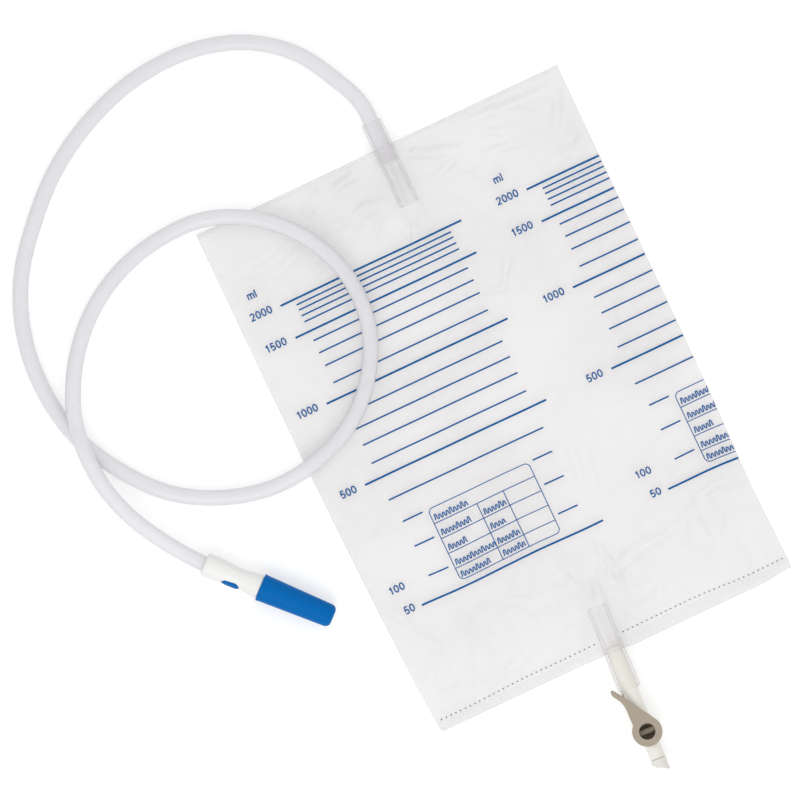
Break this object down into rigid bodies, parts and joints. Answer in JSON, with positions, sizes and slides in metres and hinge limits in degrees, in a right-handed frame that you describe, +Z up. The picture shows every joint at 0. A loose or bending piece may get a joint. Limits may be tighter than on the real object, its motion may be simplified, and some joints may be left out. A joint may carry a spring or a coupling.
{
  "type": "urine drainage bag",
  "caption": "Flat clear film bag with a blue volume scale, a looped inlet hose ending in a capped white connector, and a lever tap at the bottom edge.",
  "frame": {"origin": "centre of the bag's underside, under the middle of the films, ports and tap, hose left out", "axes": "+Z up from the floor, +Y along the bag from the tap to the inlet port, +X across the bag to the right seen from above"},
  "size_m": [0.3055, 0.4312, 0.0161],
  "materials": {
    "clear_film": "gloss",
    "printed_film": "gloss",
    "blue_ink": "matte",
    "clear_sleeve": "gloss",
    "soft_valve": "satin",
    "milky_hose": "satin",
    "white_connector": "satin",
    "blue_rubber": "satin",
    "blue_cap": "satin",
    "milky_tap": "satin",
    "taupe_lever": "satin",
    "ivory_tip": "satin"
  },
  "bodies": {
    "bag": {"back_film": "clear_film", "front_film": "printed_film", "inlet_port": "clear_sleeve", "non_return_valve": "soft_valve", "drainage_tube": "milky_hose", "connector_body": "white_connector", "sampling_septum": "blue_rubber", "outlet_port": "clear_sleeve", "tap_body": "milky_tap", "drain_tip": "ivory_tip"},
    "tap_lever": {"tap_lever": "taupe_lever", "tap_keeper": "taupe_lever"},
    "cap": {"protective_cap": "blue_cap"}
  },
  "joints": [
    {"name": "tap_turn", "type": "hinge", "parent": "bag", "child": "tap_lever", "pos_m": [-0.00197, -0.15599, 0.0072], "axis": [0, 0, 1], "range_deg": [0, 90]},
    {"name": "cap_slide", "type": "slide", "parent": "bag", "child": "cap", "axis": [0.6717, -0.7408, 0], "range_m": [0, 0.042]}
  ]
}
